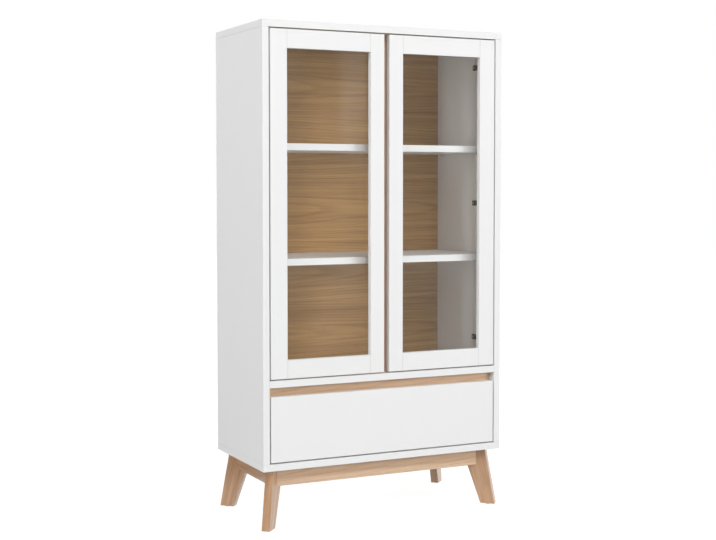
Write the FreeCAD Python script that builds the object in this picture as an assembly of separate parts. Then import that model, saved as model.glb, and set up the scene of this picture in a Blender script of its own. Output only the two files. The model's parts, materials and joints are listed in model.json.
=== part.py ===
"""Glass-door cabinet over one drawer on splayed corner legs, modelled piece by piece in millimetres.

The origin lies on the floor under the middle of the cabinet, +X is right, +Y is to the rear and +Z is up.
"""
import FreeCAD
import Part
import math
import os

V = FreeCAD.Vector

# Carcass
carcass_width = 850.0
carcass_depth = 405.0
carcass_height = 1382.0
panel_thickness = 22.0
panel_edge_radius = 1.0
front_gap = 4.0
finger_gap = 18.0
grip_slot_height = 28.0
drawer_front_height = 204.0
back_thickness = 4.0
back_setback = 17.0
back_groove_depth = 8.0

# Oak post behind the finger gap and oak rail behind the grip slot
grip_recess = 28.0
grip_board_thickness = 18.0
grip_rail_height = 45.0
post_width = 66.0

# Shelves and their pins
shelf_thickness = 22.0
shelf_setback = 60.0
shelf_side_gap = 1.0
shelf_rear_gap = 2.0
lower_shelf_rise = 349.0
upper_shelf_rise = 709.0
shelf_hole_pitch = 64.0
shelf_hole_depth = 9.0
shelf_hole_inset = 40.0
shelf_pin_radius = 2.5
shelf_pin_reach = 10.0
shelf_pin_plate = 2.0
shelf_pin_width = 9.0

# Legs and base frame
leg_height = 188.0
leg_thickness = 27.0
leg_foot_width = 48.0
leg_top_width = 81.0
leg_top_inset = 48.0
leg_edge_radius = 2.0
base_rail_setback = 45.0
base_rail_height = 58.0
base_rail_thickness = 20.0
base_rail_edge_radius = 1.5
glide_thickness = 2.0
glide_radius = 10.0
glide_stem_radius = 1.5
glide_stem_length = 12.0
base_dowel_radius = 3.0
base_dowel_rail_depth = 8.0
base_dowel_leg_depth = 12.0
base_screw_radius = 2.25
base_screw_bite = 14.0
base_screw_head_radius = 4.5
base_screw_head_height = 3.0
base_counterbore_radius = 5.5
base_counterbore_depth = 20.0
leg_screw_bite = 38.0

# Door frames and glass
door_thickness = 20.0
hinge_stile_width = 56.0
meeting_stile_width = 49.0
door_rail_height = 58.0
frame_edge_radius = 0.8
glass_thickness = 4.0
glass_rebate_width = 9.0
glass_edge_gap = 1.0
clip_thickness = 1.5
clip_length = 24.0
clip_frame_overlap = 10.0
clip_glass_overlap = 6.5

# Cup hinges
hinge_end_distance = 80.0
hinge_corner_clearance = 0.5
cup_radius = 17.5
cup_depth = 13.0
cup_wall = 1.0
cup_edge_distance = 4.5
cup_flange_thickness = 1.2
cup_flange_rim = 1.5
cup_screw_spacing = 42.0
cup_screw_offset = 11.0
cup_lobe_radius = 5.0
hinge_pin_radius = 1.5
hinge_pin_end_gap = 0.2
hinge_eye_radius = 3.2
hinge_eye_clearance = 0.3
arm_thickness = 2.5
arm_height = 12.0
arm_swing_clearance = 0.9
arm_channel_wall = 1.2
arm_channel_start = 62.0
arm_length = 118.0
arm_bend = 46.0
plate_start = 46.0
plate_length = 140.0
plate_height = 17.0
plate_thickness = 4.0
plate_corner_radius = 3.0
plate_boss_height = 3.0
plate_screw_inset = 9.0
arm_lift_angle = 35.0
arm_sweep_angle = 105.0

# Drawer box
drawer_front_thickness = 20.0
drawer_side_thickness = 15.0
drawer_box_depth = 340.0
drawer_box_height = 150.0
drawer_box_lift = 28.0
drawer_bottom_thickness = 4.0
drawer_bottom_lift = 9.0
drawer_groove_depth = 6.0

# Roller runners
runner_space = 13.0
runner_metal = 1.2
runner_length = 350.0
runner_front_inset = 24.0
runner_flange_width = 10.5
runner_guide_width = 5.2
runner_screw_tab = 12.0
runner_screw_inset = 30.0
drawer_flange_width = 7.0
drawer_ledge_width = 12.0
roller_radius = 11.0
roller_width = 8.0
roller_lift = 16.0
roller_clearance = 0.3
roller_side_gap = 1.0
axle_radius = 3.0
axle_head_radius = 4.5
axle_head_thickness = 0.6

# Dowels, cam fittings and screws
dowel_radius = 4.0
dowel_face_depth = 12.0
dowel_edge_depth = 18.0
dowel_end_gap = 0.5
dowel_inset = 40.0
drawer_dowel_side_depth = 9.0
cam_inset = 80.0
cam_setback = 24.0
cam_radius = 7.5
cam_floor = 4.5
cam_bolt_thread_radius = 2.5
cam_bolt_thread_depth = 11.0
cam_bolt_shank_radius = 2.8
cam_bolt_head_radius = 3.4
cam_bolt_head_length = 5.0
cam_bolt_clearance = 0.2
cam_slot_depth = 2.0
panel_screw_radius = 1.75
panel_screw_length = 16.0
panel_screw_head_radius = 3.5
panel_screw_head_height = 2.0
frame_screw_radius = 1.5
frame_screw_length = 12.0
frame_screw_head_radius = 3.0
frame_screw_head_height = 1.8

# Fits and cuts
dowel_fit = 0.05
screw_fit = 0.05
groove_fit = 0.1
pin_fit = 0.04
cut_overrun = 1.0

# Shares
clip_stile_shares = (0.22, 0.40, 0.60, 0.78)
clip_rail_shares = (0.25, 0.75)
base_dowel_shares = (0.28, 0.72)
base_screw_shares = (0.2, 0.8)
leg_screw_shares = (0.22, 0.72)
post_dowel_share = 0.25
grip_dowel_share = 0.5
drawer_dowel_shares = (0.3, 0.75)
recess_length_share = 1.3
recess_width_share = 0.28
recess_depth_share = 0.6

# Levels and planes that follow from the sizes above
half_width = carcass_width / 2
front = -carcass_depth / 2
rear = carcass_depth / 2
half_open = half_width - panel_thickness
bottom_top = leg_height + panel_thickness
carcass_top = leg_height + carcass_height
top_under = carcass_top - panel_thickness
drawer_base = bottom_top + front_gap
drawer_top = drawer_base + drawer_front_height
mid_under = drawer_top + grip_slot_height
mid_top = mid_under + panel_thickness
door_base = mid_top + front_gap
door_top = top_under - front_gap
hinge_edge = half_open - front_gap
door_width = hinge_edge - finger_gap / 2
back_front = rear - back_setback - back_thickness
grip_front = front + grip_recess
grip_rear = grip_front + grip_board_thickness
shelf_front = front + shelf_setback
shelf_bottoms = {"lower_shelf": mid_top + lower_shelf_rise, "upper_shelf": mid_top + upper_shelf_rise}
joint_dowel_ys = (front + dowel_inset, back_front - dowel_inset)
joint_cam_ys = (front + cam_inset, back_front - cam_inset)
sides = {"left": -1, "right": 1}

pieces = {}
holes = {}


def put(node, *shapes):
    """Adds solids to a node."""
    pieces.setdefault(node, []).extend(shapes)


def cut(node, *shapes):
    """Adds shapes that are cut from every solid of a node."""
    holes.setdefault(node, []).extend(shapes)


def box(x0, x1, y0, y1, z0, z1):
    """Block between two opposite corners, given in any order."""
    low = V(min(x0, x1), min(y0, y1), min(z0, z1))
    return Part.makeBox(abs(x1 - x0), abs(y1 - y0), abs(z1 - z0), low)


def board(x0, x1, y0, y1, z0, z1, edge_radius):
    """Block with every edge eased."""
    block = box(x0, x1, y0, y1, z0, z1)
    return block.makeFillet(edge_radius, block.Edges)


def rod(radius, start, direction, length):
    """Cylinder from a start point along a unit direction."""
    return Part.makeCylinder(radius, length, start, direction)


def prism(points, direction):
    """Flat polygon carried along a direction."""
    return Part.Face(Part.makePolygon(points + points[:1])).extrude(direction)


def screw(seat, axis, length, radius, head_radius, head_height):
    """Pan-head screw with a cross recess: its head stands on seat and its shank runs along axis."""
    crown = seat - axis * head_height
    body = rod(head_radius, crown, axis, head_height).fuse(rod(radius, seat, axis, length))
    long_side = head_radius * recess_length_share
    short_side = head_radius * recess_width_share
    deep = head_height * recess_depth_share
    for span, breadth in ((long_side, short_side), (short_side, long_side)):
        slot = Part.makeBox(span, breadth, deep, V(-span / 2, -breadth / 2, 0))
        slot.Placement = FreeCAD.Placement(crown, FreeCAD.Rotation(V(0, 0, 1), axis))
        body = body.cut(slot)
    return body.removeSplitter()


def panel_screw(node, through, into, seat, axis):
    """Screw that runs from its seat on a metal fitting through it and into a board."""
    put(node, screw(seat, axis, panel_screw_length, panel_screw_radius,
                    panel_screw_head_radius, panel_screw_head_height))
    reach = panel_screw_length + dowel_end_gap
    hole = rod(panel_screw_radius + screw_fit, seat - axis * cut_overrun, axis, reach + cut_overrun)
    cut(through, hole)
    cut(into, hole)


def dowel(node, face_board, edge_board, point, axis, face_depth, edge_depth, radius):
    """Dowel across the plane between two boards; axis points into the second board."""
    put(node, rod(radius, point - axis * face_depth, axis, face_depth + edge_depth))
    deep_start = face_depth + dowel_end_gap
    hole = rod(radius + dowel_fit, point - axis * deep_start, axis, deep_start + edge_depth + dowel_end_gap)
    cut(face_board, hole)
    cut(edge_board, hole)


def cam_joint(face_board, edge_board, point, axis, inward):
    """Cam fitting: a bolt in the face board and a cam sunk in the edge board that grips its head."""
    middle = point + axis * cam_setback
    cam_height = panel_thickness / 2 + cam_floor
    mouth = middle - inward * (panel_thickness / 2)
    neck = cam_setback - cam_bolt_head_length / 2
    thread = rod(cam_bolt_thread_radius, point - axis * cam_bolt_thread_depth, axis, cam_bolt_thread_depth)
    shank = rod(cam_bolt_shank_radius, point, axis, neck)
    head = rod(cam_bolt_head_radius, point + axis * neck, axis, cam_bolt_head_length)
    put("cam_bolts", thread.fuse([shank, head]).removeSplitter())
    way_radius = cam_bolt_head_radius + cam_bolt_clearance
    way = rod(way_radius, point, axis, cam_setback + cam_bolt_head_length / 2 + cam_bolt_clearance)
    cam = rod(cam_radius, mouth, inward, cam_height).cut(way)
    for span, breadth in ((cam_radius, cam_slot_depth), (cam_slot_depth, cam_radius)):
        slot = Part.makeBox(span, breadth, cam_slot_depth, V(-span / 2, -breadth / 2, 0))
        slot.Placement = FreeCAD.Placement(mouth, FreeCAD.Rotation(V(0, 0, 1), inward))
        cam = cam.cut(slot)
    put("cam_locks", cam)
    deep = cam_bolt_thread_depth + dowel_end_gap
    cut(face_board, rod(cam_bolt_thread_radius + screw_fit, point - axis * deep, axis, deep))
    cut(edge_board, way, rod(cam_radius + dowel_fit, mouth, inward, cam_height + dowel_fit))


def carcass():
    """Outer box, mid panel and the panel that closes the back, with their joints."""
    r = panel_edge_radius
    put("top_panel", board(-half_width, half_width, front, rear, top_under, carcass_top, r))
    put("bottom_panel", board(-half_width, half_width, front, rear, leg_height, bottom_top, r))
    put("mid_panel", board(-half_open, half_open, front, back_front, mid_under, mid_top, r))
    level = mid_under + panel_thickness / 2
    sizes = (dowel_face_depth, dowel_edge_depth, dowel_radius)
    for name, side in sides.items():
        panel = name + "_side_panel"
        inner = side * half_open
        middle = side * (half_width - panel_thickness / 2)
        put(panel, board(inner, side * half_width, front, rear, bottom_top, top_under, r))
        inward = V(side, 0, 0)
        for y in joint_dowel_ys:
            dowel("wood_dowels", "top_panel", panel, V(middle, y, top_under), V(0, 0, -1), *sizes)
            dowel("wood_dowels", "bottom_panel", panel, V(middle, y, bottom_top), V(0, 0, 1), *sizes)
            dowel("wood_dowels", panel, "mid_panel", V(inner, y, level), V(-side, 0, 0), *sizes)
        for y in joint_cam_ys:
            cam_joint("top_panel", panel, V(middle, y, top_under), V(0, 0, -1), inward)
            cam_joint("bottom_panel", panel, V(middle, y, bottom_top), V(0, 0, 1), inward)
            cam_joint(panel, "mid_panel", V(inner, y, level), V(-side, 0, 0), V(0, 0, 1))


def back():
    """Thin back in grooves of the four outer panels."""
    reach = back_groove_depth - dowel_end_gap
    x = half_open + reach
    back_rear = back_front + back_thickness
    put("back_panel", box(-x, x, back_front, back_rear, bottom_top - reach, top_under + reach))
    x = half_open + back_groove_depth
    y0 = back_front - groove_fit
    y1 = back_rear + groove_fit
    groove = box(-x, x, y0, y1, bottom_top - back_groove_depth, top_under + back_groove_depth)
    for panel in ("top_panel", "bottom_panel", "left_side_panel", "right_side_panel"):
        cut(panel, groove)


def grip_boards():
    """Oak post behind the finger gap and oak rail behind the grip slot, both held by dowels."""
    half_post = post_width / 2
    r = frame_edge_radius
    put("centre_post", board(-half_post, half_post, grip_front, grip_rear, mid_top, top_under, r))
    low = mid_under - grip_rail_height
    put("grip_rail", board(-half_open, half_open, grip_front, grip_rear, low, mid_under, r))
    middle = (grip_front + grip_rear) / 2
    sizes = (dowel_face_depth, dowel_edge_depth, dowel_radius)
    for side in sides.values():
        x = side * post_width * post_dowel_share
        dowel("wood_dowels", "mid_panel", "centre_post", V(x, middle, mid_top), V(0, 0, 1), *sizes)
        dowel("wood_dowels", "top_panel", "centre_post", V(x, middle, top_under), V(0, 0, -1), *sizes)
        x = side * half_open * grip_dowel_share
        dowel("wood_dowels", "mid_panel", "grip_rail", V(x, middle, mid_under), V(0, 0, -1), *sizes)
    for name, side in sides.items():
        point = V(side * half_open, middle, mid_under - grip_rail_height / 2)
        dowel("wood_dowels", name + "_side_panel", "grip_rail", point, V(-side, 0, 0), *sizes)


def shelves():
    """Two loose shelves on flat-topped pins, with spare holes above and below each pin."""
    half_shelf = half_open - shelf_side_gap
    shelf_rear = back_front - shelf_rear_gap
    pin_depth = shelf_hole_depth - dowel_end_gap
    hole_radius = shelf_pin_radius + dowel_fit
    for node, low in shelf_bottoms.items():
        high = low + shelf_thickness
        put(node, board(-half_shelf, half_shelf, shelf_front, shelf_rear, low, high, panel_edge_radius))
        stem = low - shelf_pin_plate - shelf_pin_radius
        for name, side in sides.items():
            wall = side * half_open
            tip = wall - side * shelf_pin_reach
            for y in (shelf_front + shelf_hole_inset, shelf_rear - shelf_hole_inset):
                start = V(wall + side * pin_depth, y, stem)
                pin = rod(shelf_pin_radius, start, V(-side, 0, 0), pin_depth + shelf_pin_reach)
                half = shelf_pin_width / 2
                plate = box(wall, tip, y - half, y + half, stem, low)
                put("shelf_pins", pin.fuse(plate).removeSplitter())
                for step in (-1, 0, 1):
                    mouth = V(wall, y, stem + step * shelf_hole_pitch)
                    cut(name + "_side_panel", rod(hole_radius, mouth, V(side, 0, 0), shelf_hole_depth))


def leg_point(corner, along, across, z):
    """Point near a leg: along the diagonal from the carcass corner, across it, and at a height."""
    sx, sy = corner
    root = math.sqrt(2)
    x = sx * (half_width - along / root) + sy * across / root
    y = sy * (carcass_depth / 2 - along / root) - sx * across / root
    return V(x, y, z)


def leg(name, corner):
    """Tapered board on the diagonal of a corner, its foot corners plumb with the carcass sides."""
    half = leg_thickness / 2
    foot = half
    outline = [(foot, glide_thickness), (foot + leg_foot_width, glide_thickness),
               (leg_top_inset + leg_top_width, leg_height), (leg_top_inset, leg_height)]
    points = [leg_point(corner, along, -half, z) for along, z in outline]
    across = leg_point(corner, 0, half, 0) - leg_point(corner, 0, -half, 0)
    blank = prism(points, across)
    slanted = [e for e in blank.Edges if e.BoundBox.ZLength > leg_height / 2]
    put(name + "_leg", blank.makeFillet(leg_edge_radius, slanted))
    up = V(0, 0, 1)
    middle = foot + leg_foot_width / 2
    pad = rod(glide_radius, leg_point(corner, middle, 0, 0), up, glide_thickness)
    stem_foot = leg_point(corner, middle, 0, glide_thickness)
    put("foot_glides", pad.fuse(rod(glide_stem_radius, stem_foot, up, glide_stem_length)).removeSplitter())
    cut(name + "_leg", rod(glide_stem_radius + dowel_fit, stem_foot, up, glide_stem_length + dowel_end_gap))
    down = V(0, 0, -1)
    length = panel_thickness - base_screw_head_height + leg_screw_bite
    for share in leg_screw_shares:
        along = leg_top_inset + leg_top_width * share
        seat = leg_point(corner, along, 0, bottom_top - base_screw_head_height)
        put("base_screws", screw(seat, down, length, base_screw_radius,
                                 base_screw_head_radius, base_screw_head_height))
        shank_hole = rod(base_screw_radius + screw_fit, seat, down, length + dowel_end_gap)
        head_depth = base_screw_head_height + cut_overrun
        cut("bottom_panel", shank_hole, rod(base_screw_head_radius + screw_fit, seat, up, head_depth))
        cut(name + "_leg", shank_hole)


def base_rail(name, outward, half_long, half_short, legs):
    """Rail between two legs, its ends cut at 45 degrees to lie on the wide faces of the legs."""
    along = V(abs(outward.y), abs(outward.x), 0)
    low = leg_height - base_rail_height
    leg_offset = leg_thickness / math.sqrt(2)
    outer = half_short - base_rail_setback
    inner = outer - base_rail_thickness
    outer_end = half_long - base_rail_setback - leg_offset
    inner_end = outer_end - base_rail_thickness
    plan = [outward * outer + along * -outer_end, outward * outer + along * outer_end,
            outward * inner + along * inner_end, outward * inner + along * -inner_end]
    blank = prism([p + V(0, 0, low) for p in plan], V(0, 0, base_rail_height))
    lower = [e for e in blank.Edges if e.BoundBox.ZMax < leg_height - base_rail_height / 2
             and e.Length > inner_end]
    put(name + "_base_rail", blank.makeFillet(base_rail_edge_radius, lower))
    middle = outward * ((outer + inner) / 2)
    end_middle = (outer_end + inner_end) / 2
    for leg_name, sign in legs:
        toward_leg = (along * sign + outward * -1).normalize()
        for share in base_dowel_shares:
            point = middle + along * (sign * end_middle) + V(0, 0, low + base_rail_height * share)
            dowel("wood_dowels", name + "_base_rail", leg_name + "_leg", point, toward_leg,
                  base_dowel_rail_depth, base_dowel_leg_depth, base_dowel_radius)
    for share in base_screw_shares:
        seat = middle + along * (inner_end * (2 * share - 1)) + V(0, 0, low + base_counterbore_depth)
        up = V(0, 0, 1)
        length = base_rail_height - base_counterbore_depth + base_screw_bite
        put("base_screws", screw(seat, up, length, base_screw_radius,
                                 base_screw_head_radius, base_screw_head_height))
        shank_hole = rod(base_screw_radius + screw_fit, seat, up, length + dowel_end_gap)
        bore_depth = base_counterbore_depth + cut_overrun
        cut(name + "_base_rail", shank_hole, rod(base_counterbore_radius, seat, V(0, 0, -1), bore_depth))
        cut("bottom_panel", shank_hole)


def base():
    """Four legs and the rails between them."""
    for depth_name, sy in (("front", -1), ("rear", 1)):
        for width_name, sx in sides.items():
            leg(depth_name + "_" + width_name, (sx, sy))
    half_depth = carcass_depth / 2
    for name, sy in (("front", -1), ("rear", 1)):
        ends = [(name + "_left", -1), (name + "_right", 1)]
        base_rail(name, V(0, sy, 0), half_width, half_depth, ends)
    for name, sx in sides.items():
        ends = [("front_" + name, -1), ("rear_" + name, 1)]
        base_rail(name, V(sx, 0, 0), half_depth, half_width, ends)


def hinge_axis():
    """Distances of a hinge axis from the hinge edge and the front face of its door.

    The pin lies just above the cup floor, and far enough in that the front corner clears the side panel.
    """
    deep = door_thickness - cup_depth + cup_wall + hinge_eye_radius + hinge_eye_clearance
    swing = front_gap - hinge_corner_clearance
    return (deep * deep - swing * swing) / (2 * swing), deep


def hinge_levels():
    """Heights of the three hinges of a door."""
    return (door_base + hinge_end_distance, (door_base + door_top) / 2, door_top - hinge_end_distance)


def door_point(side, u, v, z):
    """Point of a door: u in from its hinge edge, v back from its front face, at a height."""
    return V(side * (hinge_edge - u), front + v, z)


def door(name, side):
    """Frame of two stiles and two rails round a pane held by clips."""
    prefix = name + "_door_"
    stile_in = hinge_stile_width
    meet_in = door_width - meeting_stile_width
    rail_low = door_base + door_rail_height
    rail_high = door_top - door_rail_height
    members = {"hinge_stile": (0, stile_in, door_base, door_top),
               "meeting_stile": (meet_in, door_width, door_base, door_top),
               "bottom_rail": (stile_in, meet_in, door_base, rail_low),
               "top_rail": (stile_in, meet_in, rail_high, door_top)}

    def block(u0, u1, v0, v1, z0, z1):
        return (side * (hinge_edge - u0), side * (hinge_edge - u1), front + v0, front + v1, z0, z1)

    glass_face = door_thickness - glass_thickness
    rebate = glass_rebate_width
    pocket = box(*block(stile_in - rebate, meet_in + rebate, glass_face, door_thickness + cut_overrun,
                        rail_low - rebate, rail_high + rebate))
    for member, (u0, u1, z0, z1) in members.items():
        put(prefix + member, board(*block(u0, u1, 0, door_thickness, z0, z1), frame_edge_radius))
        cut(prefix + member, pocket)
    lap = glass_rebate_width - glass_edge_gap
    put(prefix + "glass", box(*block(stile_in - lap, meet_in + lap, glass_face, door_thickness,
                                     rail_low - lap, rail_high + lap)))
    for member, u in (("hinge_stile", stile_in), ("meeting_stile", meet_in)):
        toward_rail = V(-side, 0, 0) if member == "hinge_stile" else V(side, 0, 0)
        rail_levels = {"bottom_rail": (door_base + rail_low) / 2, "top_rail": (rail_high + door_top) / 2}
        for rail, z in rail_levels.items():
            point = door_point(side, u, glass_face / 2, z)
            dowel(prefix + "dowels", prefix + member, prefix + rail, point, toward_rail,
                  dowel_edge_depth, dowel_edge_depth, dowel_radius)
    door_clips(prefix, side, stile_in - rebate, meet_in + rebate, rail_low - rebate, rail_high + rebate)


def door_clips(prefix, side, u0, u1, z0, z1):
    """Flat clips over the edge of the pane, each with one screw into the frame."""
    half = clip_length / 2
    spots = []
    for share in clip_stile_shares:
        z = z0 + (z1 - z0) * share
        spots.append(("hinge_stile", u0, z, -1, 0))
        spots.append(("meeting_stile", u1, z, 1, 0))
    for share in clip_rail_shares:
        u = u0 + (u1 - u0) * share
        spots.append(("bottom_rail", u, z0, 0, -1))
        spots.append(("top_rail", u, z1, 0, 1))
    for member, u, z, du, dz in spots:
        out_u = u + du * clip_frame_overlap + abs(dz) * half
        in_u = u - du * clip_glass_overlap - abs(dz) * half
        out_z = z + dz * clip_frame_overlap + abs(du) * half
        in_z = z - dz * clip_glass_overlap - abs(du) * half
        low = door_point(side, out_u, door_thickness, out_z)
        high = door_point(side, in_u, door_thickness + clip_thickness, in_z)
        plate = box(low.x, high.x, low.y, high.y, low.z, high.z)
        upright = [e for e in plate.Edges if e.BoundBox.YLength > clip_thickness / 2]
        put(prefix + "clips", plate.makeFillet(clip_thickness, upright))
        lap = clip_frame_overlap / 2
        seat = door_point(side, u + du * lap, door_thickness + clip_thickness, z + dz * lap)
        frame_screw(prefix, "clips", member, seat)


def frame_screw(prefix, plate, member, seat):
    """Screw on the rear of a door frame, through a thin plate and into a frame member."""
    axis = V(0, -1, 0)
    put(prefix + "screws", screw(seat, axis, frame_screw_length, frame_screw_radius,
                                 frame_screw_head_radius, frame_screw_head_height))
    start = seat - axis * cut_overrun
    depth = cut_overrun + frame_screw_length + dowel_end_gap
    hole = rod(frame_screw_radius + screw_fit, start, axis, depth)
    cut(prefix + plate, hole)
    cut(prefix + member, hole)


def hinge_cup(prefix, side, level):
    """Round cup sunk in the hinge stile, with a flange, two screws and the pin across its mouth."""
    axis_u, axis_v = hinge_axis()
    centre_u = cup_edge_distance + cup_radius
    back_axis = V(0, -1, 0)
    rear_face = door_point(side, centre_u, door_thickness, level)
    outer = rod(cup_radius, rear_face, back_axis, cup_depth)
    flange = rod(cup_radius + cup_flange_rim, rear_face, V(0, 1, 0), cup_flange_thickness)
    lobes = []
    lobe_u = centre_u + cup_screw_offset
    half_spacing = cup_screw_spacing / 2
    for sign in (-1, 1):
        spot = door_point(side, lobe_u, door_thickness, level + sign * half_spacing)
        lobes.append(rod(cup_lobe_radius, spot, V(0, 1, 0), cup_flange_thickness))
        seat = spot + V(0, cup_flange_thickness, 0)
        frame_screw(prefix, "hinge_cups", "hinge_stile", seat)
    flange_top = door_thickness + cup_flange_thickness
    low = door_point(side, lobe_u - cup_lobe_radius, door_thickness, level - half_spacing)
    high = door_point(side, lobe_u + cup_lobe_radius, flange_top, level + half_spacing)
    strap = box(low.x, high.x, low.y, high.y, low.z, high.z)
    mouth = rear_face + V(0, cup_flange_thickness + cut_overrun, 0)
    bowl_depth = cup_depth - cup_wall + cup_flange_thickness + cut_overrun
    bowl = rod(cup_radius - cup_wall, mouth, back_axis, bowl_depth)
    offset = centre_u - axis_u + hinge_pin_radius
    half_pin = math.sqrt(cup_radius * cup_radius - offset * offset) - hinge_pin_end_gap
    pin_foot = door_point(side, axis_u, axis_v, level - half_pin)
    up = V(0, 0, 1)
    put(prefix + "hinge_pins", rod(hinge_pin_radius, pin_foot, up, 2 * half_pin))
    bore_foot = door_point(side, axis_u, axis_v, level - cup_radius)
    bore = rod(hinge_pin_radius + pin_fit, bore_foot, up, 2 * cup_radius)
    cup = outer.fuse([flange, strap] + lobes).cut([bowl, bore]).removeSplitter()
    put(prefix + "hinge_cups", cup)
    cut(prefix + "hinge_stile", rod(cup_radius + dowel_fit, rear_face, back_axis, cup_depth + dowel_fit))


def hinge_arm(side, level):
    """Cranked arm from the pin to the plate: straight out of the cup, round the door corner, then back."""
    axis_u, axis_v = hinge_axis()
    swing = math.hypot(axis_u, axis_v) + arm_thickness / 2 + arm_swing_clearance
    wall_u = -front_gap
    web_u = wall_u + plate_thickness + plate_boss_height + arm_thickness / 2
    low = level - arm_height / 2

    def polar(degrees):
        turn = math.radians(degrees)
        return door_point(side, axis_u + swing * math.cos(turn), axis_v + swing * math.sin(turn), low)

    eye = door_point(side, axis_u, axis_v, low)
    bend = door_point(side, web_u, arm_bend, low)
    tail = door_point(side, web_u, arm_length, low)
    start = polar(arm_lift_angle)
    middle = polar((arm_lift_angle + arm_sweep_angle) / 2)
    end = polar(arm_sweep_angle)
    path = Part.Wire([Part.LineSegment(eye, start).toShape(), Part.Arc(start, middle, end).toShape(),
                      Part.LineSegment(end, bend).toShape(), Part.LineSegment(bend, tail).toShape()])
    up = V(0, 0, arm_height)
    strip = Part.Face(path.makeOffset2D(arm_thickness / 2)).extrude(up)
    ring = rod(hinge_eye_radius, eye, V(0, 0, 1), arm_height)
    web_under = wall_u + plate_thickness + plate_boss_height
    flanges = []
    for z0, z1 in ((low, low + arm_channel_wall), (low + arm_height - arm_channel_wall, low + arm_height)):
        near = door_point(side, wall_u + plate_thickness, arm_channel_start, z0)
        far = door_point(side, web_under + arm_thickness / 2, arm_length, z1)
        flanges.append(box(near.x, far.x, near.y, far.y, near.z, far.z))
    bore = rod(hinge_pin_radius + pin_fit, eye, V(0, 0, 1), arm_height)
    put("hinge_arms", strip.fuse([ring] + flanges).cut(bore).removeSplitter())


def hinge_plate(name, side, level):
    """Mounting plate on the side panel with a raised boss that the arm clips over."""
    wall_u = -front_gap
    top_u = wall_u + plate_thickness
    low = door_point(side, wall_u, plate_start, level - plate_height / 2)
    high = door_point(side, top_u, plate_length, level + plate_height / 2)
    plate = box(low.x, high.x, low.y, high.y, low.z, high.z)
    corners = [e for e in plate.Edges if e.BoundBox.XLength > plate_thickness / 2]
    plate = plate.makeFillet(plate_corner_radius, corners)
    half = arm_height / 2 - arm_channel_wall - screw_fit
    near = door_point(side, top_u, arm_channel_start, level - half)
    far = door_point(side, top_u + plate_boss_height, arm_length, level + half)
    boss = box(near.x, far.x, near.y, far.y, near.z, far.z)
    put("hinge_plates", plate.fuse(boss).removeSplitter())
    for v in (plate_start + plate_screw_inset, plate_length - plate_screw_inset):
        seat = door_point(side, top_u, v, level)
        panel_screw("side_panel_screws", "hinge_plates", name + "_side_panel", seat, V(side, 0, 0))


def doors():
    """Both doors with their cups, pins, arms and plates."""
    for name, side in sides.items():
        door(name, side)
        for level in hinge_levels():
            hinge_cup(name + "_door_", side, level)
            hinge_arm(side, level)
            hinge_plate(name, side, level)


def drawer():
    """Box of front, sides, back and a bottom in grooves, joined by dowels."""
    x_out = half_open - runner_space
    x_in = x_out - drawer_side_thickness
    y0 = front + drawer_front_thickness
    y1 = y0 + drawer_box_depth
    back_y = y1 - drawer_side_thickness
    z0 = bottom_top + drawer_box_lift
    z1 = z0 + drawer_box_height
    r = panel_edge_radius
    put("drawer_front", board(-hinge_edge, hinge_edge, front, y0, drawer_base, drawer_top, r))
    put("drawer_back", box(-x_in, x_in, back_y, y1, z0, z1))
    floor_z = z0 + drawer_bottom_lift
    reach = drawer_groove_depth - dowel_end_gap
    put("drawer_bottom", box(-x_in - reach, x_in + reach, y0 - reach, back_y + reach,
                             floor_z, floor_z + drawer_bottom_thickness))
    wide = x_in + drawer_groove_depth
    groove = box(-wide, wide, y0 - drawer_groove_depth, back_y + drawer_groove_depth,
                 floor_z - groove_fit, floor_z + drawer_bottom_thickness + groove_fit)
    for node in ("drawer_front", "drawer_back", "drawer_left_side", "drawer_right_side"):
        cut(node, groove)
    for name, side in sides.items():
        node = "drawer_" + name + "_side"
        put(node, box(side * x_in, side * x_out, y0, y1, z0, z1))
        middle = side * (x_in + x_out) / 2
        for share in drawer_dowel_shares:
            z = z0 + drawer_box_height * share
            dowel("drawer_dowels", "drawer_front", node, V(middle, y0, z), V(0, 1, 0),
                  dowel_face_depth, dowel_edge_depth, dowel_radius)
            point = V(side * x_in, (back_y + y1) / 2, z)
            dowel("drawer_dowels", node, "drawer_back", point, V(-side, 0, 0),
                  drawer_dowel_side_depth, dowel_edge_depth, dowel_radius)


def runner_point(side, w, y, z):
    """Point in the runner space: w in from the side panel."""
    return V(side * (half_open - w), y, z)


def runner_profile(side, outline, y0, y1):
    """Bent steel profile: an outline across the runner space carried along the depth."""
    points = [runner_point(side, w, y0, z) for w, z in outline]
    return prism(points, V(0, y1 - y0, 0))


def roller(node, side, w, y, z):
    """Wheel that turns on an axle along X."""
    start = runner_point(side, w, y, z)
    axis = V(-side, 0, 0)
    wheel = rod(roller_radius, start, axis, roller_width)
    put(node, wheel.cut(rod(axle_radius + pin_fit, start, axis, roller_width)))


def axle(side, w0, w1, head_w, y, z):
    """Rivet on a profile: a spindle with a head that keeps the roller on."""
    direction = 1 if w1 > w0 else -1
    axis = V(-side * direction, 0, 0)
    spindle = rod(axle_radius, runner_point(side, w0, y, z), axis, abs(w1 - w0))
    head = rod(axle_head_radius, runner_point(side, head_w, y, z), axis, axle_head_thickness)
    return spindle.fuse(head)


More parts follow.
